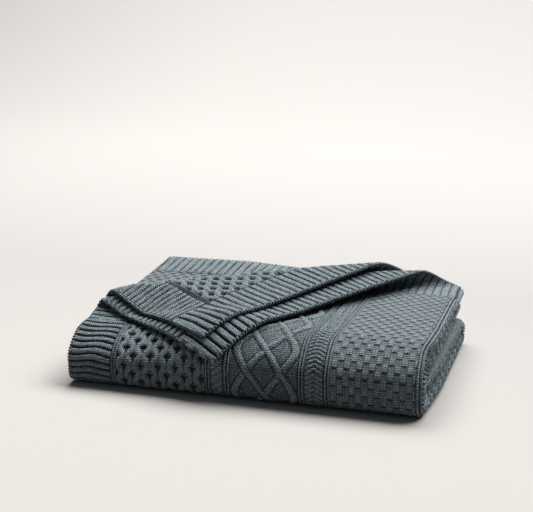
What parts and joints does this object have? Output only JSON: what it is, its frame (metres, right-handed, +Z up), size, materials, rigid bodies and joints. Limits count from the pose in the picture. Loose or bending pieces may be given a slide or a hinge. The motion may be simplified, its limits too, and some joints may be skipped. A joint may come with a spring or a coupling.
{
  "type": "folded knit throw blanket",
  "caption": "Folded aran knit throw with honeycomb, lattice and braid panels and ribbed bands, one corner of its top layers turned over to hang down the front.",
  "frame": {"origin": "under the middle of the folded pack, on the surface that it rests on", "axes": "+X along the front of the pack to the right, +Y from the front to the back, +Z up"},
  "size_m": [0.4508, 0.3584, 0.1141],
  "materials": {
    "yarn": "matte, soft cotton knit"
  },
  "bodies": {
    "root": {"aran_panel": "yarn", "side_band_outer": "yarn", "side_band_inner": "yarn", "end_band_outer": "yarn", "end_band_inner": "yarn"}
  },
  "joints": []
}
